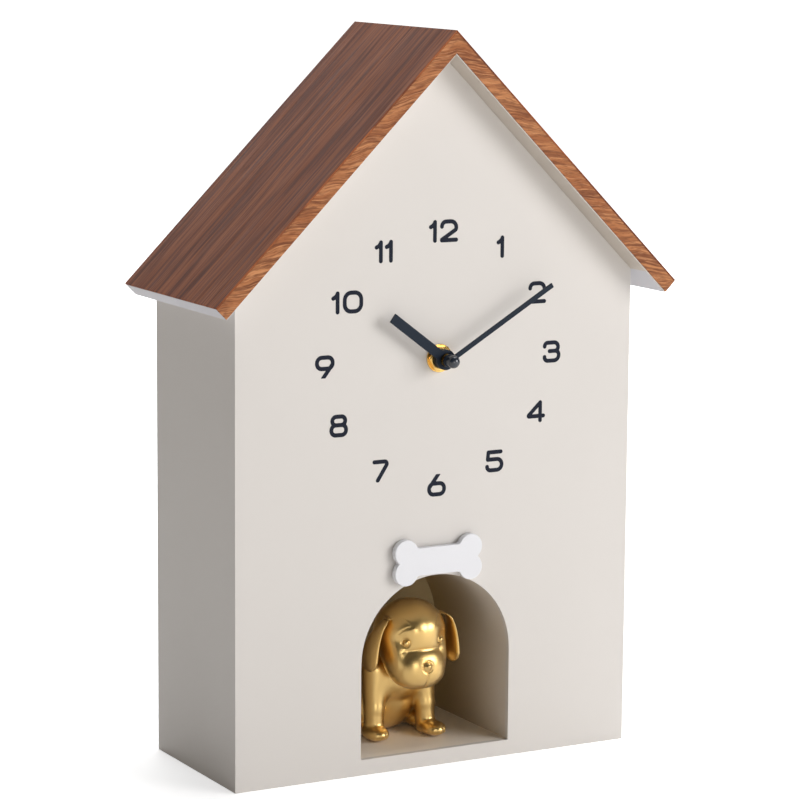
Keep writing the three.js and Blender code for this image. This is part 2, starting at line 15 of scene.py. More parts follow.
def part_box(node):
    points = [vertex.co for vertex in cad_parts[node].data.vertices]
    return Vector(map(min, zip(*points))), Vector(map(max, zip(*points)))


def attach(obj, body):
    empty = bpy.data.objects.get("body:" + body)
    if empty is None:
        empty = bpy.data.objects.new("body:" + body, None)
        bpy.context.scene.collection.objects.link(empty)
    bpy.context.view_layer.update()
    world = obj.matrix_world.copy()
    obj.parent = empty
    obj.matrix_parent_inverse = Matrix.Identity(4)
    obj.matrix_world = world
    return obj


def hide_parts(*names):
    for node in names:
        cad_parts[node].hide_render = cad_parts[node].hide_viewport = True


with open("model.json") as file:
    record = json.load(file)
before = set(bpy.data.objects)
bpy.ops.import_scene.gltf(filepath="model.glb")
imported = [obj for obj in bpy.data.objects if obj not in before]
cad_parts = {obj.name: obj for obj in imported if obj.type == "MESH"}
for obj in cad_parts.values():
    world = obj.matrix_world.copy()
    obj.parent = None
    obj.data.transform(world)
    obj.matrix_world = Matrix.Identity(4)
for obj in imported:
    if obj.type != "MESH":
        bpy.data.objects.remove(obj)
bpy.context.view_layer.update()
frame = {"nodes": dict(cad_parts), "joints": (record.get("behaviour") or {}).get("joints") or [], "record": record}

MM = 0.001
NODES = frame["nodes"]
CASE = "clock_case"

# ---- Places, all read from the frame ----
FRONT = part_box("case_shell")[0].y
HALF_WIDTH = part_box("case_shell")[1].x
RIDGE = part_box("roof_veneer_left")[1].z
EAVE_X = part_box("roof_veneer_right")[1].x
HANDS = Vector(next(j for j in frame["joints"] if j["name"] == "minute_turn")["pos_m"])
PUPPY_X = (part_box("puppy_head")[0].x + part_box("puppy_head")[1].x) / 2

# ---- Camera, lights and floor ----
# Degrees, millimetres; "at" is a point in the frame, also in millimetres.
CAMERA = {"azimuth": -28.673, "elevation": 9.234, "roll": 0.432, "lens": 141.14,
          "at": (-620.84, -1140.01, 359.67)}


def make_camera():
    azimuth, elevation, roll = (math.radians(CAMERA[k]) for k in ("azimuth", "elevation", "roll"))
    level = math.cos(elevation)
    back = Vector((math.sin(azimuth) * level, -math.cos(azimuth) * level, math.sin(elevation)))
    camera = bpy.data.objects.new("camera", bpy.data.cameras.new("camera"))
    camera.data.lens = CAMERA["lens"]
    camera.data.sensor_width = 36
    camera.data.clip_start, camera.data.clip_end = 0.05, 90
    right = (-back).cross(Vector((0, 0, 1))).normalized()
    up = right.cross(-back)
    turned_right = right * math.cos(roll) + up * math.sin(roll)
    turned_up = up * math.cos(roll) - right * math.sin(roll)
    basis = Matrix((turned_right, turned_up, back)).transposed()
    camera.matrix_world = Matrix.Translation(Vector(CAMERA["at"]) * MM) @ basis.to_4x4()
    bpy.context.scene.collection.objects.link(camera)
    bpy.context.scene.camera = camera


def area_light(name, at, target, size, power, color=(1, 1, 1)):
    light = bpy.data.lights.new(name, "AREA")
    light.shape = "RECTANGLE"
    light.size, light.size_y = size
    light.energy = power
    light.color = color
    lamp = bpy.data.objects.new(name, light)
    lamp.location = at
    lamp.rotation_euler = (Vector(target) - Vector(at)).to_track_quat("-Z", "Y").to_euler()
    bpy.context.scene.collection.objects.link(lamp)


def make_studio():
    """A white sweep: the world shows white behind the clock but lights it only faintly."""
    world = bpy.data.worlds.new("studio")
    world.use_nodes = True
    tree = world.node_tree
    seen = tree.nodes.new("ShaderNodeLightPath").outputs["Is Camera Ray"]
    strength = tree.nodes.new("ShaderNodeMapRange")
    strength.inputs["To Min"].default_value = 0.05
    strength.inputs["To Max"].default_value = 1.0
    tree.links.new(seen, strength.inputs["Value"])
    tree.links.new(strength.outputs["Result"], tree.nodes["Background"].inputs["Strength"])
    tree.nodes["Background"].inputs["Color"].default_value = (1, 1, 1, 1)
    bpy.context.scene.world = world
    bpy.context.scene.view_settings.view_transform = "Standard"
    middle = (0, 0, 0.15)
    area_light("key", (1.15, -1.45, 0.64), middle, (1.05, 0.95), 20.2, (1.0, 0.985, 0.975))
    area_light("fill", (-0.34, -1.75, 0.26), middle, (0.45, 0.45), 3.4, (1.0, 0.98, 0.95))
    area_light("top", (0.45, 0.15, 1.5), middle, (1.0, 1.0), 16)
    area_light("rear", (0.3, 1.5, 0.9), middle, (1.2, 0.8), 12)

    mesh = bpy.data.meshes.new("floor")
    reach = 30.0
    corners = [(-reach, -reach, 0), (reach, -reach, 0), (reach, reach, 0), (-reach, reach, 0)]
    mesh.from_pydata(corners, [], [(0, 1, 2, 3)])
    floor = bpy.data.objects.new("floor", mesh)
    bpy.context.scene.collection.objects.link(floor)
    floor.data.materials.append(sweep_material())


# ---- Node graph helpers ----
class Graph:
    """A material's node tree, with short calls for the nodes that the materials below are made of."""

    def __init__(self, name):
        self.material = bpy.data.materials.new(name)
        self.material.use_nodes = True
        self.tree = self.material.node_tree
        self.shader = self.tree.nodes["Principled BSDF"]

    def node(self, kind, inputs=None, **settings):
        made = self.tree.nodes.new(kind)
        for key, value in settings.items():
            setattr(made, key, value)
        for key, value in (inputs or {}).items():
            self.feed(made.inputs[key], value)
        return made

    def feed(self, socket, value):
        if isinstance(value, bpy.types.NodeSocket):
            self.tree.links.new(value, socket)
        else:
            socket.default_value = value

    def set(self, **values):
        for key, value in values.items():
            self.feed(self.shader.inputs[key.replace("_", " ")], value)

    def place(self, turn=(0, 0, 0), shift=(0, 0, 0)):
        coordinates = self.node("ShaderNodeTexCoord").outputs["Object"]
        mapped = self.node("ShaderNodeMapping", {"Vector": coordinates, "Location": shift, "Rotation": turn})
        return mapped.outputs["Vector"]

    def split(self, vector):
        return self.node("ShaderNodeSeparateXYZ", {"Vector": vector}).outputs

    def normal(self):
        return self.node("ShaderNodeNewGeometry").outputs["Normal"]

    def between(self, value, low, high, smooth=False):
        """Value as 0 to 1 between low and high."""
        kind = "SMOOTHSTEP" if smooth else "LINEAR"
        made = self.node("ShaderNodeMapRange", {"Value": value, "From Min": low, "From Max": high},
                         interpolation_type=kind)
        return made.outputs["Result"]

    def noise(self, vector, scale, detail=2.0, roughness=0.5, distortion=0.0):
        made = self.node("ShaderNodeTexNoise", {"Vector": vector, "Scale": scale, "Detail": detail,
                                                "Roughness": roughness, "Distortion": distortion})
        return made.outputs["Fac"]

    def math(self, operation, a, b=0.0):
        return self.node("ShaderNodeMath", {0: a, 1: b}, operation=operation).outputs[0]

    def ramp(self, factor, stops):
        made = self.node("ShaderNodeValToRGB", {"Fac": factor})
        elements = made.color_ramp.elements
        while len(elements) < len(stops):
            elements.new(0.5)
        for element, (position, color) in zip(elements, stops):
            element.position = position
            element.color = (*color, 1) if len(color) == 3 else color
        return made.outputs["Color"]

    def mix(self, factor, a, b, blend="MIX"):
        made = self.node("ShaderNodeMix", data_type="RGBA", blend_type=blend)
        for name, value in (("Factor_Float", factor), ("A_Color", a), ("B_Color", b)):
            socket = next(s for s in made.inputs if s.identifier == name)
            if not isinstance(value, bpy.types.NodeSocket) and name != "Factor_Float":
                value = (*value, 1) if len(value) == 3 else value
            self.feed(socket, value)
        return next(s for s in made.outputs if s.identifier == "Result_Color")

    def stain(self, base, factor, strength, color):
        """Lays a colour over the base where factor is high."""
        return self.mix(self.math("MULTIPLY", factor, strength), base, color)

    def bump(self, height, strength, distance):
        made = self.node("ShaderNodeBump", {"Height": height, "Strength": strength, "Distance": distance})
        self.feed(self.shader.inputs["Normal"], made.outputs["Normal"])


def spread(low, high):
    return [(0.0, (low,) * 3), (1.0, (high,) * 3)]


def sweep_material():
    """The floor: nearly white to the camera, and a warmer, fainter glow to the clock standing on it."""
    graph = Graph("sweep")
    where = graph.split(graph.place())
    squares = [graph.math("POWER", where[axis], 2.0) for axis in ("X", "Y")]
    fade = graph.between(graph.math("SQRT", graph.math("ADD", *squares)), 0.25, 0.9, smooth=True)
    seen = graph.node("ShaderNodeLightPath").outputs["Is Camera Ray"]
    glow = graph.math("ADD", graph.math("MULTIPLY", fade, 0.13), 0.20)
    white = graph.math("ADD", graph.math("MULTIPLY", fade, 0.50), 0.60)
    strength = graph.node("ShaderNodeMix", {"Factor": seen, "A": glow, "B": white}, data_type="FLOAT")
    graph.set(Base_Color=graph.ramp(graph.noise(graph.place(), 3, 2), spread(0.885, 0.9)), Roughness=0.7)
    graph.set(Emission_Color=graph.mix(seen, (1.0, 0.90, 0.79), (1, 1, 1)))
    graph.set(Emission_Strength=strength.outputs[0])
    return graph.material


# ---- Materials ----
GREIGE = (0.720, 0.692, 0.664)
COOL_WHITE = (0.58, 0.58, 0.63)


def lacquer(name, color, shade, roughness=0.42):
    """Sprayed lacquer on board or plastic: a faint mottle and a fine orange peel."""
    graph = Graph(name)
    where = graph.place()
    mottle = graph.noise(where, 22, 3, 0.55)
    darker = tuple(c * shade for c in color)
    base = graph.mix(mottle, darker, color)
    graph.set(Base_Color=base, Specular_IOR_Level=0.4)
    graph.set(Roughness=graph.ramp(graph.noise(where, 60, 2), spread(roughness - 0.04, roughness + 0.05)))
    graph.bump(graph.noise(where, 1500, 2, 0.5), 0.25, 0.00004)
    return graph


def case_paint():
    return lacquer("case_paint", GREIGE, 0.975).material


def lining_paint_and_painted_light():
    """The niche's lining: the case's paint, with painted shade that warms and darkens it towards the back, and
    painted light that makes its up-facing floor paler.
    """
    graph = lacquer("lining_paint_and_painted_light", GREIGE, 0.975)
    # Painted shade: the lining's colour darkens and browns with depth into the niche, from a slightly warmed tint
    # at the front.
    painted_depth_shade = graph.between(graph.split(graph.place())["Y"], FRONT, FRONT + 0.06, smooth=True)
    paint = graph.shader.inputs["Base Color"].links[0].from_socket
    near = graph.mix(1.0, paint, (1.0, 0.97, 0.92), "MULTIPLY")
    walls_with_painted_shade = graph.mix(painted_depth_shade, near, (0.43, 0.325, 0.165))
    # Painted light: faces that look up, the niche's floor, get a paler colour than its walls.
    painted_floor_light = graph.math("GREATER_THAN", graph.split(graph.normal())["Z"], 0.5)
    graph.set(Base_Color=graph.mix(painted_floor_light, walls_with_painted_shade, (0.93, 0.87, 0.79)))
    return graph.material


def board_paint_and_painted_shade():
    """The roof boards: cool white; greige beneath the gable's overhang, partly the board's own colour and partly
    painted shade, darker than the case's greige; and a pale rim below the edge band.
    """
    graph = lacquer("roof_board_paint_and_painted_shade", COOL_WHITE, 0.97)
    inside = graph.math("LESS_THAN", graph.math("ABSOLUTE", graph.split(graph.place())["X"]), HALF_WIDTH)
    white = graph.shader.inputs["Base Color"].links[0].from_socket
    # Partly painted shade: inside the walls the soffit takes a greige darker than the case's, standing both for
    # the board's own colour and for the shade beneath the overhang.
    soffit_with_painted_shade = graph.mix(inside, white, (0.56, 0.505, 0.445))
    is_rim = graph.math("LESS_THAN", graph.split(graph.normal())["Y"], -0.5)
    graph.set(Base_Color=graph.mix(is_rim, soffit_with_painted_shade, (0.86, 0.84, 0.80)))
    return graph.material


def walnut_veneer(side):
    """Straight-grained walnut laminate whose streaks run from the ridge to the eave."""
    graph = Graph("walnut_veneer_" + ("left" if side < 0 else "right"))
    slope = math.atan((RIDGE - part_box("roof_veneer_right")[0].z) / EAVE_X)
    # After the turn X runs down the slope and Y across the streaks.
    along = graph.place(turn=(0, -side * slope, 0), shift=(0.37 * side, 0.11 * side, 0))

    def streaks(scale, length, detail=3.0, low=0.4, high=0.6):
        """Noise drawn out along the grain, scale per metre across it, as 0 to 1 between low and high."""
        stretched = graph.node("ShaderNodeMapping", {"Vector": along, "Scale": (1 / length, 1, 0.1)})
        return graph.between(graph.noise(stretched.outputs["Vector"], scale, detail, 0.6), low, high)

    base = graph.mix(streaks(70, 8, 2), (0.285, 0.082, 0.030), (0.375, 0.118, 0.045))
    base = graph.stain(base, streaks(280, 22, 4, 0.50, 0.58), 0.75, (0.135, 0.040, 0.024))
    base = graph.stain(base, streaks(520, 32, 4, 0.52, 0.62), 0.5, (0.440, 0.150, 0.060))
    base = graph.stain(base, streaks(900, 34, 4, 0.50, 0.58), 0.65, (0.110, 0.036, 0.024))
    fine = streaks(1100, 40, 2, 0.35, 0.65)
    graph.set(Base_Color=base, Roughness=graph.ramp(fine, spread(0.55, 0.68)), Specular_IOR_Level=0.12)
    graph.bump(fine, 0.25, 0.00006)
    return graph.material


def walnut_edge():
    """The lighter band across the roof's front: short wavy figure, nearly level."""
    graph = Graph("walnut_edge")
    where = graph.place()
    side = graph.split(where)["X"]
    # The figure rises a little towards the ridge on both slopes, and waves.
    sink = graph.math("MULTIPLY", graph.math("ABSOLUTE", side), 0.16)
    wander = graph.math("MULTIPLY", graph.math("SUBTRACT", graph.noise(where, 38, 2), 0.5), 0.009)
    shifted = graph.node("ShaderNodeCombineXYZ", {"Z": graph.math("ADD", sink, wander)})
    added = graph.node("ShaderNodeVectorMath", {0: where, 1: shifted.outputs["Vector"]}, operation="ADD")
    bent = added.outputs["Vector"]

    def figure(scale, flat, detail=3.0, low=0.4, high=0.6):
        stretched = graph.node("ShaderNodeMapping", {"Vector": bent, "Scale": (1, 1, flat)})
        return graph.between(graph.noise(stretched.outputs["Vector"], scale, detail, 0.55, 0.12), low, high)

    base = graph.mix(figure(26, 9), (0.390, 0.142, 0.055), (0.530, 0.225, 0.092))
    base = graph.stain(base, figure(40, 16, 4, 0.51, 0.58), 0.7, (0.190, 0.064, 0.030))
    base = graph.stain(base, figure(90, 15, 4, 0.52, 0.59), 0.55, (0.150, 0.050, 0.026))
    base = graph.stain(base, figure(60, 20, 3, 0.54, 0.60), 0.6, (0.660, 0.310, 0.140))
    pores = figure(330, 9, 3, 0.50, 0.62)
    base = graph.stain(base, pores, 0.5, (0.16, 0.056, 0.032))
    graph.set(Base_Color=base, Roughness=graph.ramp(pores, spread(0.55, 0.66)), Specular_IOR_Level=0.12)
    graph.bump(pores, 0.2, 0.00005)
    return graph.material


def satin_metal(name, color, low, high, scale=90, metallic=1.0, grain=0.1, specular=0.5, coat=0.0):
    """Plated or painted metal with slightly uneven gloss."""
    graph = Graph(name)
    where = graph.place()
    cloud = graph.noise(where, scale, 3)
    graph.set(Base_Color=graph.mix(cloud, tuple(c * 0.9 for c in color), color), Metallic=metallic,
              Specular_IOR_Level=specular)
    graph.set(Roughness=graph.ramp(cloud, spread(low, high)), Coat_Weight=coat, Coat_Roughness=0.3,
              Coat_IOR=1.65)
    graph.bump(graph.noise(where, 2600, 2), grain, 0.00002)
    return graph.material


def moulded(name, color, low, high, grain=0.3):
    """Injection-moulded plastic with a spark-eroded texture."""
    graph = Graph(name)
    where = graph.place()
    graph.set(Base_Color=graph.mix(graph.noise(where, 45, 2), tuple(c * 0.93 for c in color), color))
    graph.set(Roughness=graph.ramp(graph.noise(where, 120, 2), spread(low, high)))
    graph.bump(graph.noise(where, 1900, 2), grain, 0.00003)
    return graph.material


def circuit_mask():
    graph = Graph("circuit_laminate")
    where = graph.place()
    tracks = graph.node("ShaderNodeTexBrick", {
        "Vector": where, "Scale": 140.0, "Mortar Size": 0.05, "Mortar": (0.03, 0.27, 0.12, 1),
        "Color1": (0.010, 0.15, 0.06, 1), "Color2": (0.012, 0.17, 0.07, 1)})
    graph.set(Base_Color=tracks.outputs["Color"])
    graph.set(Roughness=graph.ramp(graph.noise(where, 200), spread(0.25, 0.4)))
    return graph.material


def winding():
    graph = Graph("copper_winding")
    wave = graph.node("ShaderNodeTexWave", {"Vector": graph.place(), "Scale": 900.0}, bands_direction="X")
    turns = graph.mix(wave.outputs["Fac"], (0.30, 0.09, 0.03), (0.62, 0.24, 0.10))
    graph.set(Base_Color=turns, Metallic=0.9, Roughness=0.35)
    graph.bump(wave.outputs["Fac"], 0.5, 0.0001)
    return graph.material


def cell_sleeve(name, axis, end, sign):
    """An AA cell's plain sleeve: dark, and copper-coloured beyond end on the side that sign points to."""
    graph = Graph(name)
    upper = graph.math("GREATER_THAN" if sign > 0 else "LESS_THAN", graph.split(graph.place())[axis], end)
    base = graph.mix(upper, (0.022, 0.026, 0.032), (0.50, 0.22, 0.08))
    gloss = graph.ramp(graph.noise(graph.place(), 60), spread(0.22, 0.34))
    graph.set(Base_Color=base, Roughness=gloss, Metallic=0.35)
    return graph.material


MATERIALS = {
    "case_paint": case_paint(),
    "white_board": board_paint_and_painted_shade(),
    "lining": lining_paint_and_painted_light(),
    "white_paint": lacquer("sign_paint", (0.82, 0.83, 0.87), 0.98, 0.45).material,
    "walnut_edge": walnut_edge(),
    "navy_metal": satin_metal("navy_metal", (0.009, 0.018, 0.034), 0.42, 0.52, metallic=0.0, specular=0.18),
    "brass": satin_metal("polished_brass", (0.95, 0.62, 0.20), 0.20, 0.32),
    "gold_figure": satin_metal("gold_figure", (0.80, 0.53, 0.165), 0.30, 0.36, 70, 1.0, 0.12, coat=1.0),
    "steel": satin_metal("zinc_steel", (0.62, 0.63, 0.65), 0.22, 0.38),
    "black_plastic": moulded("black_plastic", (0.020, 0.021, 0.023), 0.42, 0.56),
    "white_nylon": moulded("white_nylon", (0.74, 0.73, 0.68), 0.38, 0.5, 0.15),
    "rubber": moulded("rubber", (0.025, 0.025, 0.026), 0.7, 0.85, 0.4),
    "circuit_laminate": circuit_mask(),
    "cell_label": cell_sleeve("movement_cell_sleeve", "X", 0.012, 1),
    "copper": winding(),
    "wire_jacket": moulded("wire_jacket", (0.42, 0.022, 0.018), 0.3, 0.4, 0.1),
}
NAVY_GLOSS = satin_metal("navy_gloss", (0.014, 0.022, 0.036), 0.20, 0.26, metallic=0.0, specular=0.9)
INK = satin_metal("numeral_ink", (0.016, 0.020, 0.034), 0.55, 0.7, metallic=0.0, specular=0.1)


def paint_nodes():
    """Every CAD node takes its slot's material."""
    slots = {s["node"]: s["material_slot"] for s in frame["record"]["subparts"]}
    for name, thing in NODES.items():
        thing.data.materials.clear()
        if slots[name] == "walnut_veneer":
            thing.data.materials.append(walnut_veneer(-1 if name.endswith("left") else 1))
        else:
            thing.data.materials.append(MATERIALS["lining" if name == "niche_tunnel" else slots[name]])
    for name, sign in (("sound_cell_1", -1), ("sound_cell_2", 1)):
        low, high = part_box(name)
        middle = (low.z + high.z) / 2 + sign * 0.011
        NODES[name].data.materials[0] = cell_sleeve(name + "_sleeve", "Z", middle, sign)


def soften_nodes():
    """Rounds the CAD nodes' sharp edges a little, which catches the light as real edges do."""
    radii = {"case_shell": 0.5, "niche_tunnel": 0.25, "back_cover": 0.35, "battery_door": 0.4,
             "roof_board_left": 0.2, "roof_board_right": 0.2, "roof_veneer_left": 0.15,
             "roof_veneer_right": 0.15, "movement_case": 0.4, "movement_cover": 0.35,
             "battery_tray": 0.3, "slide_switch_knob": 0.2, "volume_knob": 0.2,
             "setting_knob": 0.2, "motor_gearbox": 0.3, "motor_bracket": 0.3, "circuit_board": 0.1}
    for name, thing in NODES.items():
        for polygon in thing.data.polygons:
            polygon.use_smooth = True
        weld = thing.modifiers.new("weld", "WELD")
        weld.merge_threshold = 0.000002
        flatten = thing.modifiers.new("flatten", "DECIMATE")
        flatten.decimate_type = "DISSOLVE"
        flatten.angle_limit = math.radians(0.5)
        if name in radii:
            bevel = thing.modifiers.new("soft_edges", "BEVEL")
            bevel.width = radii[name] * MM
            bevel.segments = 3
            bevel.limit_method = "ANGLE"
            bevel.angle_limit = math.radians(35)
        split = thing.modifiers.new("split", "EDGE_SPLIT")
        split.split_angle = math.radians(32)
        weighted = thing.modifiers.new("weighted", "WEIGHTED_NORMAL")
        weighted.keep_sharp = True


# ---- Building pieces ----
def show(mesh, name, body, material, slot, *nodes, flat_above=30, crease=True):
    """Links a mesh as a piece that rides on a body and stands for the CAD nodes named."""
    thing = bpy.data.objects.new(name, mesh)
    bpy.context.scene.collection.objects.link(thing)
    mesh.materials.append(material)
    for polygon in mesh.polygons:
        polygon.use_smooth = True
    if crease:
        mesh.set_sharp_from_angle(angle=math.radians(flat_above))
        thing.modifiers.new("weighted", "WEIGHTED_NORMAL").keep_sharp = True
    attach(thing, body)
    if nodes:
        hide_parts(*nodes)
    return thing


def to_mesh(name, bm):
    bmesh.ops.recalc_face_normals(bm, faces=bm.faces)
    mesh = bpy.data.meshes.new(name)
    bm.to_mesh(mesh)
    bm.free()
    return mesh


def at_front(x, y, z):
    """A point given in millimetres from the front face's foot, Y going back, in the frame's metres."""
    return (x * MM, y * MM + FRONT, z * MM)


def lathe_into(bm, profile, centre, segments=64):
    """Revolves closed (radius, y) points about a line along Y through centre (x, z)."""
    rings = []
    for radius, y in profile:
        if radius == 0:
            rings.append([bm.verts.new(at_front(centre[0], y, centre[1]))])
            continue
        ring = []
        for i in range(segments):
            t = 2 * math.pi * i / segments
            x, z = radius * math.cos(t), radius * math.sin(t)
            ring.append(bm.verts.new(at_front(centre[0] + x, y, centre[1] + z)))
        rings.append(ring)
    for a, b in zip(rings, rings[1:] + rings[:1]):
        for i in range(segments):
            j = (i + 1) % segments
            corners = [a[i % len(a)], a[j % len(a)], b[j % len(b)], b[i % len(b)]]
            corners = list(dict.fromkeys(corners))
            if len(corners) > 2:
                bm.faces.new(corners)


def covered(point, loops):
    """Whether a point lies inside an odd number of loops."""
    crossings = 0
    for loop in loops:
        for (x0, z0), (x1, z1) in zip(loop, loop[1:] + loop[:1]):
            if (z0 > point.y) != (z1 > point.y) and point.x < x0 + (point.y - z0) * (x1 - x0) / (z1 - z0):
                crossings += 1
    return crossings % 2 == 1


def plate_into(bm, loops, front, back, bevel=0.0):
    """A plate filling flat (x, z) loops, the later ones holes, with bevelled front edges."""
    flat = [Vector(point) for loop in loops for point in loop]
    edges, first = [], 0
    for loop in loops:
        edges += [(first + i, first + (i + 1) % len(loop)) for i in range(len(loop))]
        first += len(loop)
    points, _, triangles, *_ = delaunay_2d_cdt(flat, edges, [], 0, 1e-6)
    corners = [bm.verts.new(at_front(x, back, z)) for x, z in points]
    faces = [bm.faces.new([corners[i] for i in triangle]) for triangle in triangles
             if covered(sum((points[i] for i in triangle), Vector((0, 0))) / 3, loops)]
    bmesh.ops.delete(bm, geom=[v for v in corners if not v.link_faces], context="VERTS")
    raised = bmesh.ops.extrude_face_region(bm, geom=faces)["geom"]
    moved = [v for v in raised if isinstance(v, bmesh.types.BMVert)]
    bmesh.ops.translate(bm, verts=moved, vec=(0, (front - back) * MM, 0))
    if bevel:
        moved = set(moved)
        rim = [e for e in bm.edges if e.verts[0] in moved and e.verts[1] in moved and e.is_manifold
               and e.calc_face_angle(0) > 0.7]
        bmesh.ops.bevel(bm, geom=rim, offset=bevel * MM, segments=3, profile=0.5, affect="EDGES")


def spin_loop(loop, centre, degrees):
    """Turns (x, z) points, drawn at twelve about the origin, clockwise and moves them to centre."""
    c, s = math.cos(math.radians(degrees)), math.sin(math.radians(degrees))
    return [(centre[0] + x * c + z * s, centre[1] - x * s + z * c) for x, z in loop]


def circle(radius, count=64, start=0.0, stop=2 * math.pi, closed=True):
    last = count if closed else count - 1
    angles = [start + (stop - start) * i / last for i in range(count)]
    return [(radius * math.sin(angle), radius * math.cos(angle)) for angle in angles]


# ---- Surfaces from distance functions, which take and give numpy arrays in millimetres ----
def smooth_union(a, b, k):
    h = np.clip(0.5 + 0.5 * (b - a) / k, 0, 1)
    return b + (a - b) * h - k * h * (1 - h)


def ellipsoid(p, centre, radii, power=2.0):
    q = np.abs(p - np.array(centre)) / np.array(radii)
    length = np.maximum((q ** power).sum(-1), 1e-9) ** (1 / power)
    slope = np.sqrt(((p - np.array(centre)) ** 2 / np.array(radii) ** 4).sum(-1)) + 1e-6
    return length * (length - 1) / slope if power == 2.0 else (length - 1) * min(radii)


def round_cone(p, a, b, radius_a, radius_b):
    a, b = np.array(a, float), np.array(b, float)
    along = b - a
    t = np.clip(((p - a) @ along) / (along @ along), 0, 1)
    return np.linalg.norm(p - a - t[..., None] * along, axis=-1) - (radius_a + (radius_b - radius_a) * t)


def path_distance(x, z, points):
    """Distance in the XZ plane from a polyline."""
    near = np.full(x.shape, 1e9)
    for (x0, z0), (x1, z1) in zip(points, points[1:]):
        dx, dz = x1 - x0, z1 - z0
        t = np.clip(((x - x0) * dx + (z - z0) * dz) / max(dx * dx + dz * dz, 1e-9), 0, 1)
        near = np.minimum(near, np.hypot(x - x0 - t * dx, z - z0 - t * dz))
    return near


def polish(points, distance):
    """Moves points onto the zero of a distance function."""
    step = 0.02
    for _ in range(3):
        value = distance(points)
        slope = np.stack([(distance(points + np.eye(points.shape[1])[i] * step) - value) / step
                          for i in range(points.shape[1])], -1)
        move = value[:, None] * slope / np.maximum((slope ** 2).sum(-1), 0.1)[:, None]
        length = np.linalg.norm(move, axis=-1, keepdims=True)
        points = points - move * np.minimum(1, 0.4 / np.maximum(length, 1e-9))
    return points


def surface(name, distance, low, high, step):
    """The zero surface of a distance function as quads: one vertex in each grid cell that it crosses."""
    axes = [np.arange(a, b + step, step) for a, b in zip(low, high)]
    grid = np.stack(np.meshgrid(*axes, indexing="ij"), -1)
    inside = distance(grid.reshape(-1, 3)).reshape(grid.shape[:3]) < 0
    shape = np.array(inside.shape) - 1
    total = sum(inside[i:i + shape[0], j:j + shape[1], k:k + shape[2]].astype(int)
                for i in (0, 1) for j in (0, 1) for k in (0, 1))
    crossed = (total > 0) & (total < 8)
    number = np.full(crossed.shape, -1)
    number[crossed] = np.arange(crossed.sum())
    points = np.array(low) + (np.argwhere(crossed) + 0.5) * step
    quads = []
    for axis in range(3):
        u, v = [a for a in range(3) if a != axis]
        first = [slice(1, -1)] * 3
        second = [slice(1, -1)] * 3
        first[axis], second[axis] = slice(0, -1), slice(1, None)
        a, b = inside[tuple(first)], inside[tuple(second)]
        where = np.argwhere(a != b)
        outward = a[a != b]
        where[:, u] += 1
        where[:, v] += 1
        ring = []
        for du, dv in ((-1, -1), (0, -1), (0, 0), (-1, 0)):
            cell = where.copy()
            cell[:, u] += du
            cell[:, v] += dv
            ring.append(number[tuple(cell.T)])
        ring = np.stack(ring, -1)
        flip = outward if axis != 1 else ~outward
        ring[~flip] = ring[~flip][:, ::-1]
        quads.append(ring)
    points = polish(points, distance)
    mesh = bpy.data.meshes.new(name)
    placed = points * MM + np.array([0, FRONT, 0])
    mesh.from_pydata(placed.tolist(), [], np.concatenate(quads).tolist())
    mesh.validate()
    return mesh


def outline(distance, low, high, step=0.2):
    """The zero contours of a flat distance function of (x, z), as closed loops of points."""
    xs, zs = np.arange(low[0], high[0] + step, step), np.arange(low[1], high[1] + step, step)
    grid = np.stack(np.meshgrid(xs, zs, indexing="ij"), -1)
    inside = distance(grid.reshape(-1, 2)).reshape(grid.shape[:2]) < 0
    links = {}
    for axis in (0, 1):
        a = inside[:-1, 1:-1] if axis == 0 else inside[1:-1, :-1]
        b = inside[1:, 1:-1] if axis == 0 else inside[1:-1, 1:]
        for i, j in np.argwhere(a != b):
            i, j = (i, j + 1) if axis == 0 else (i + 1, j)
            cells = ((i, j - 1), (i, j)) if axis == 0 else ((i - 1, j), (i, j))
            for here, there in (cells, cells[::-1]):
                links.setdefault(here, []).append(there)
    loops = []
    unused = set(links)
    while unused:
        start = here = min(unused)
        before, loop = None, []
        while True:
            loop.append(here)
            unused.discard(here)
            ahead = [c for c in links[here] if c != before and (c in unused or c == start)]
            if not ahead or ahead[0] == start and len(loop) > 2:
                break
            before, here = here, ahead[0]
        points = np.array(low) + (np.array(loop) + 0.5) * step
        loops.append(polish(points, distance))
    return loops


# ---- Numerals: single strokes with round ends ----
STROKE = 1.72
TALL = 9.3 - STROKE


def rounded(points):
    """A polyline through (x, z) or (x, z, corner radius) points, its corners rounded."""
    made = [points[0][:2]]
    for before, corner, after in zip(points, points[1:], points[2:]):
        radius = corner[2] if len(corner) > 2 else 0
        here = np.array(corner[:2])
        if radius == 0:
            made.append(tuple(here))
            continue
        back = np.array(before[:2]) - here
        ahead = np.array(after[:2]) - here
        back, ahead = back / np.linalg.norm(back), ahead / np.linalg.norm(ahead)
        half = math.acos(float(np.clip(back @ ahead, -1, 1))) / 2
        reach = radius / math.tan(half)
        start, stop = here + back * reach, here + ahead * reach
        centre = here + (back + ahead) / np.linalg.norm(back + ahead) * radius / math.sin(half)
        from_angle = math.atan2(*(start - centre)[::-1])
        swing = (math.atan2(*(stop - centre)[::-1]) - from_angle + math.pi) % (2 * math.pi) - math.pi
        for i in range(9):
            angle = from_angle + swing * i / 8
            made.append((centre[0] + radius * math.cos(angle), centre[1] + radius * math.sin(angle)))
    made.append(points[-1][:2])
    return made


def loop_path(left, right, low, high, radius):
    middle = (left + right) / 2
    return rounded([(middle, low), (right, low, radius), (right, high, radius), (left, high, radius),
                    (left, low, radius), (middle, low)])


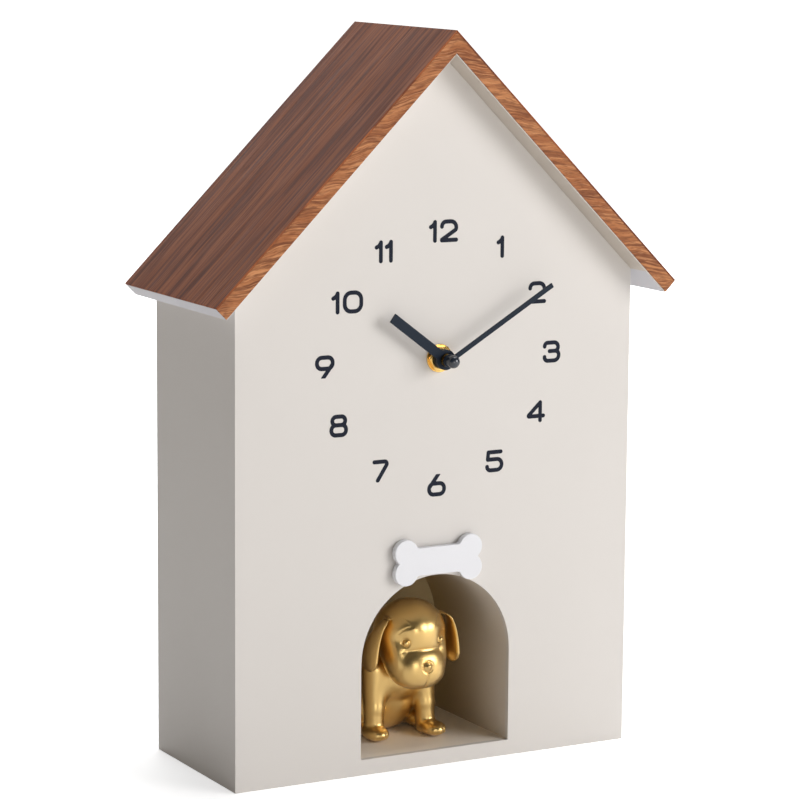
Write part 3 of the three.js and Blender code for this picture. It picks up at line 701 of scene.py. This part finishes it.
def digit_strokes(digit, w):
    """Centre lines of one digit in a box w wide and TALL high, from its lower left corner."""
    h = TALL
    if digit == "0":
        return [loop_path(0, w, 0, h, 2.9)]
    if digit == "1":
        return [[(w, 0), (w, h)], [(0, h - 1.95), (w * 0.45, h - 1.55), (w * 0.8, h - 0.85), (w, h - 0.1)]]
    if digit == "2":
        return [rounded([(0, h - 2.0), (0, h, 1.95), (w, h, 2.5), (w, h * 0.56, 1.1), (0, 0.25), (0, 0),
                         (w, 0)])]
    if digit == "3":
        middle = h * 0.53
        return [rounded([(0, h - 1.5), (0, h, 1.45), (w * 0.95, h, 2.0), (w * 0.95, middle, 1.6),
                         (w * 0.35, middle)]),
                rounded([(w * 0.35, middle), (w, middle, 1.7), (w, 0, 2.2), (0, 0, 1.6), (0, 1.7)])]
    if digit == "4":
        return [rounded([(w * 0.8, h), (0, h * 0.25, 0.3), (w, h * 0.25)]), [(w * 0.8, h), (w * 0.8, 0)]]
    if digit == "5":
        return [rounded([(w * 0.93, h), (w * 0.08, h), (w * 0.04, h * 0.6), (w, h * 0.6, 2.3), (w, 0, 2.3),
                         (0, 0, 1.6), (0, 1.6)])]
    if digit == "6":
        return [loop_path(0, w, 0, h * 0.6, 2.15), [(w * 0.04, h * 0.42), (w * 0.62, h + 0.9)]]
    if digit == "7":
        return [rounded([(0, h), (w, h, 1.0), (w * 0.24, -0.1)])]
    if digit == "8":
        return [loop_path(w * 0.06, w * 0.94, h * 0.54, h, 1.75), loop_path(0, w, 0, h * 0.54, 1.95)]
    # A 9 is a 6 turned round.
    return [[(w - x, h - z) for x, z in path] for path in digit_strokes("6", w)]


NUMERALS = {
    "12": (223.4, [("1", -5.2, 3.7), ("2", 0.0, 8.4)]),
    "1": (215.7, [("1", 26.6, 3.6)]),
    "2": (195.9, [("2", 42.1, 8.6)]),
    "3": (170.7, [("3", 49.5, 8.6)]),
    "4": (145.9, [("4", 41.7, 9.3)]),
    "5": (126.6, [("5", 22.5, 8.7)]),
    "6": (118.7, [("6", -4.9, 8.8)]),
    "7": (126.8, [("7", -30.4, 8.3)]),
    "8": (146.8, [("8", -50.1, 8.4)]),
    "9": (171.2, [("9", -56.7, 8.8)]),
    "10": (196.7, [("1", -49.5, 3.7), ("0", -44.3, 9.2)]),
    "11": (216.3, [("1", -30.0, 3.7), ("1", -25.4, 3.7)]),
}


def make_numerals():
    for label, (middle, digits) in NUMERALS.items():
        bm = bmesh.new()
        for digit, left, width in digits:
            foot = middle - TALL / 2
            paths = [[(left + STROKE / 2 + x, foot + z) for x, z in path]
                     for path in digit_strokes(digit, width - STROKE)]

            def ink(p):
                near = np.min([path_distance(p[:, 0], p[:, 1], path) for path in paths], axis=0) - STROKE / 2
                return np.maximum(near, np.abs(p[:, 1] - middle) - (TALL + STROKE) / 2)

            low, high = (left - 1, foot - 2), (left + width + 1, foot + TALL + 2)
            plate_into(bm, [loop.tolist() for loop in outline(ink, low, high)], -0.05, -0.005)
        show(to_mesh("numeral_" + label, bm), "numeral_" + label, CASE, INK, "navy_metal")


# ---- Bone sign ----
BONE = {"x": -0.9, "z": 88.0, "lobe_x": 15.1, "lobe_z": 4.25, "lobe": 5.35, "bar": 5.8}


def make_bone():
    def shape(p):
        x, z = np.abs(p[:, 0] - BONE["x"]), np.abs(p[:, 1] - BONE["z"])
        lobes = np.hypot(x - BONE["lobe_x"], z - BONE["lobe_z"]) - BONE["lobe"]
        bar = np.maximum(x - BONE["lobe_x"], z - BONE["bar"])
        return smooth_union(lobes, bar, 0.9)

    bm = bmesh.new()
    reach = BONE["lobe_x"] + BONE["lobe"] + 1
    loops = outline(shape, (BONE["x"] - reach, BONE["z"] - 11), (BONE["x"] + reach, BONE["z"] + 11), 0.3)
    front = (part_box("bone_sign")[0].y - FRONT) / MM
    plate_into(bm, [loop.tolist() for loop in loops], front, front + 2.6, 0.28)
    for side in (-1, 1):
        peg = [(0, front + 2.5), (1.5, front + 2.5), (1.5, -0.02), (0, -0.02)]
        lathe_into(bm, peg, (BONE["x"] + side * 9, BONE["z"]), 32)
    show(to_mesh("bone_plate", bm), "bone_plate", CASE, MATERIALS["white_paint"], "white_paint", "bone_sign")


# ---- Hands and the movement's brass ----
CENTRE = (HANDS.x / MM, HANDS.z / MM)
HAND_SHAPES = {
    "hour": {"degrees": -53.1, "length": 30.9, "half": 2.05, "hub": 4.2, "bore": 2.7,
             "back": -4.6, "bar": -5.5, "front": -6.3, "body": "hour_shaft"},
    "minute": {"degrees": 59.35, "length": 55.8, "half": 1.0, "hub": 2.7, "bore": 1.55,
               "back": -8.4, "bar": -9.0, "front": -9.8, "body": "minute_shaft"},
}


def make_hands():
    for name, hand in HAND_SHAPES.items():
        bm = bmesh.new()
        meet = math.asin(hand["half"] / hand["hub"])
        arc = circle(hand["hub"], 48, meet, 2 * math.pi - meet, closed=False)
        rim = [(-hand["half"], hand["length"]), (hand["half"], hand["length"])] + arc
        loops = [spin_loop(loop, CENTRE, hand["degrees"]) for loop in (rim, circle(hand["bore"], 48))]
        plate_into(bm, loops, hand["front"], hand["bar"], 0.12)
        hub, back, soft = hand["hub"], hand["back"], 0.15
        boss = [(hand["bore"], back), (hub - soft, back), (hub, back - soft), (hub, hand["bar"]),
                (hand["bore"], hand["bar"])]
        lathe_into(bm, boss, CENTRE)
        node = name + "_hand"
        mesh = to_mesh(node + "_bar", bm)
        show(mesh, node + "_bar", hand["body"], MATERIALS["navy_metal"], "navy_metal", node)


def make_cap_nut():
    """The ball that ends the minute arbor, on a short skirt."""
    dome = [(2.7 * math.sin(t), -11.95 - 2.7 * math.cos(t)) for t in np.linspace(0, math.radians(118), 18)]
    skirt = [(0, -11.4), (1.55, -11.4), (1.55, -9.87), (2.35, -9.87), (2.4, -9.95), (2.4, -10.45)]
    bm = bmesh.new()
    lathe_into(bm, skirt + dome[::-1], CENTRE)
    show(to_mesh("cap_ball", bm), "cap_ball", "minute_shaft", NAVY_GLOSS, "navy_metal", "cap_nut")


def make_washer():
    bm = bmesh.new()
    washer = [(4.12, -0.06), (5.7, -0.06), (5.8, -0.16), (5.8, -0.76), (5.66, -0.9), (4.12, -0.9)]
    lathe_into(bm, washer, CENTRE, 96)
    show(to_mesh("washer_ring", bm), "washer_ring", CASE, MATERIALS["brass"], "brass", "brass_washer")


def make_nut():
    """A hexagon nut whose corners are turned off at both ends."""
    half_flats, corner_radius, sides = 4.9, 4.75, 96
    bm = bmesh.new()
    rings = []
    # Each level is (y, depth of the chamfer there, bore radius or None on the outside).
    levels = [(-0.95, 0.25, 4.1), (-0.95, 0.25, None)]
    levels += [(-3 + t, t, None) for t in (0.85, 0.6, 0.4, 0.25, 0.12, 0.0)] + [(-3, 0, 4.1)]
    for y, depth, bore in levels:
        ring = []
        for i in range(sides):
            angle = 2 * math.pi * i / sides
            hexagon = half_flats / math.cos((angle + math.pi / 6) % (math.pi / 3) - math.pi / 6)
            radius = bore or min(hexagon, corner_radius + depth * 1.75)
            x, z = radius * math.sin(angle), radius * math.cos(angle)
            ring.append(bm.verts.new(at_front(CENTRE[0] + x, y, CENTRE[1] + z)))
        rings.append(ring)
    for a, b in zip(rings, rings[1:] + rings[:1]):
        for i in range(sides):
            j = (i + 1) % sides
            bm.faces.new((a[i], a[j], b[j], b[i]))
    mesh = to_mesh("hexagon_nut", bm)
    show(mesh, "hexagon_nut", CASE, MATERIALS["brass"], "brass", "brass_nut", flat_above=20)


# ---- Puppy: X from its own middle, millimetres from the front face's foot ----
FLOOR = 6.85
CREASE = [(-10.4, 47.6), (-8, 48.3), (-4, 48.8), (0, 49), (4, 48.8), (8, 48.3), (10.4, 47.6)]
BROWS = [[(10.5, 55.6), (9.1, 57.2), (7.6, 58.1), (6.4, 58.3)], [(8.2, 61.6), (6.8, 60.4), (5.4, 58.6)]]


def groove(near, depth, width):
    return depth * np.exp(-((near / width) ** 2))


def head_shape(p):
    x, y, z = p[:, 0], p[:, 1], p[:, 2]
    side = np.abs(x)
    mirrored = np.stack([side, y, z], -1)
    skull = ellipsoid(p, (0, 19, 53.5), (15.3, 15.1, 14.2))
    # The muzzle is taller above its widest level than below it.
    raised = np.stack([x, y, np.where(z > 39.8, (z - 39.8) * 0.85, z - 39.8)], -1)
    muzzle = ellipsoid(raised, (0, 12.4, 0), (11.8, 10.4, 9.2), 2.35)
    cheek = ellipsoid(mirrored, (5.2, 16.5, 46.0), (6.6, 8.6, 8.0))
    head = smooth_union(smooth_union(skull, cheek, 4.0), muzzle, 0.7 + 5.5 * np.clip((side - 7.5) / 4, 0, 1))
    front = np.clip((16 - y) / 4, 0, 1)
    middle = np.clip((10.5 - side) / 4, 0, 1)
    head = head + front * middle * groove(path_distance(x, z, CREASE), 0.2, 0.45)
    head = head + front * groove(np.hypot(side - 9.4, z - 53.2), 0.9, 3.0)
    head = head - front * groove(np.hypot((side - 3.6) / 5.5, (z - 58.5) / 3.8), 0.6, 1.0)
    for points in BROWS:
        head = head + front * groove(path_distance(side, z, points), 0.3, 0.3)
    head = head + front * groove(path_distance(x, z, [(0, 40), (0.1, 36.5), (0, 32.5)]), 0.4, 0.4)

    lean = 13.0 + 6.7 * np.sqrt(np.clip(1 - ((z - 39.5) / 21.5) ** 2, 0, 1))
    flat = np.stack([(side - lean) * 3.7, y, z], -1)
    ear = round_cone(flat, (0, 13.4, 58.6), (0, 17.6, 45.6), 3.0, 7.0) / 2.3
    head = smooth_union(head, ear, np.clip(0.4 + (z - 56) * 0.4, 0.4, 2.2))

    away = np.linalg.norm(mirrored - np.array((8.1, 6.95, 51.7)), axis=-1)
    head = head + (y < 12) * groove(away - 1.75, 0.45, 0.32)
    head = np.minimum(head, away - 1.28)

    ring = np.hypot(x, z - 41.7)
    head = head + (y < 8) * groove(ring - 2.35, 0.4, 0.34)
    nose = ellipsoid(p, (0, 2.75, 41.7), (2.1, 1.9, 2.05))
    nose = nose + groove(ring - 1.3, 0.25, 0.28) + groove(np.hypot(side - 0.6, z - 41.3), 0.4, 0.35)
    return np.minimum(head, nose)


def body_shape(p):
    x, y, z = p[:, 0], p[:, 1], p[:, 2]
    side = np.abs(x)
    mirrored = np.stack([side, y, z], -1)
    chest = ellipsoid(p, (0, 32, 33), (12.6, 11.5, 12.5))
    leg = round_cone(mirrored, (11.3, 28.6, 36), (12.1, 27.2, 20), 5.6, 4.35)
    shin = round_cone(mirrored, (12.1, 27.2, 20), (12.4, 26.8, 9.5), 4.35, 4.1)
    front = smooth_union(chest, smooth_union(leg, shin, 1.0), 4.5)
    # The right forepaw stands a little further forward than the left one.
    ahead = np.where(x > 0, 2.3, -0.5)
    set_out = np.stack([side, y + ahead, z], -1)
    paw = ellipsoid(set_out, (12.9, 23.7, FLOOR + 2.95), (4.9, 7.0, 3.0), 2.3)
    for toe in (11.2, 14.7):
        crease = np.hypot(side - toe, (z - FLOOR - 3.2) * 0.25)
        paw = paw + groove(crease, 0.15, 0.5) * np.clip((21.0 - y - ahead) / 2.5, 0, 1)
    front = smooth_union(front, paw, 1.3)

    back = ellipsoid(p, (0, 40, 25), (14, 14.5, 17.5))
    rump = ellipsoid(p, (0, 45, FLOOR + 10), (12.5, 12.8, 10))
    hip = ellipsoid(mirrored, (11.5, 44.5, FLOOR + 9), (7.2, 12, 9))
    foot = ellipsoid(mirrored, (13.5, 36, FLOOR + 2.7), (4.4, 6.5, 2.7))
    for toe in (12.2, 14.9):
        foot = foot + groove(side - toe, 0.35, 0.45) * np.clip((33 - y) / 2, 0, 1)
    hind = smooth_union(smooth_union(back, rump, 4.0), hip, 2.0)
    hind = smooth_union(hind, foot, 0.9)
    tilt = 0.35
    tail_y, tail_z = y - 56.2, z - 14
    lengthwise = tail_z * math.cos(tilt) - tail_y * math.sin(tilt)
    crosswise = tail_y * math.cos(tilt) + tail_z * math.sin(tilt)
    turned = np.stack([x, crosswise, lengthwise], -1)
    hind = smooth_union(hind, ellipsoid(turned, (0, 0, 0), (2.8, 4.2, 7)), 1.5)
    whole = smooth_union(front, hind, 1.2)
    neck_gap = 0.3 - head_shape(p)
    peg_hole = np.minimum(1.7 - np.hypot(x, y - 53), 13.5 - z)
    return np.maximum(np.maximum(whole, neck_gap), np.maximum(peg_hole, FLOOR - z))


def make_puppy():
    pieces = (("puppy_head", head_shape, (-23, -1, 27), (23, 37, 70), 0.42),
              ("puppy_body", body_shape, (-22, 14, 5.5), (22, 63, 49), 0.65))
    for node, shape, low, high, step in pieces:
        mesh = surface(node + "_cast", shape, low, high, step)
        for vertex in mesh.vertices:
            vertex.co.x += PUPPY_X
        show(mesh, node + "_cast", "puppy", MATERIALS["gold_figure"], "gold_figure", node, crease=False)


make_camera()
make_studio()
paint_nodes()
soften_nodes()
make_numerals()
make_bone()
make_hands()
make_cap_nut()
make_washer()
make_nut()
make_puppy()
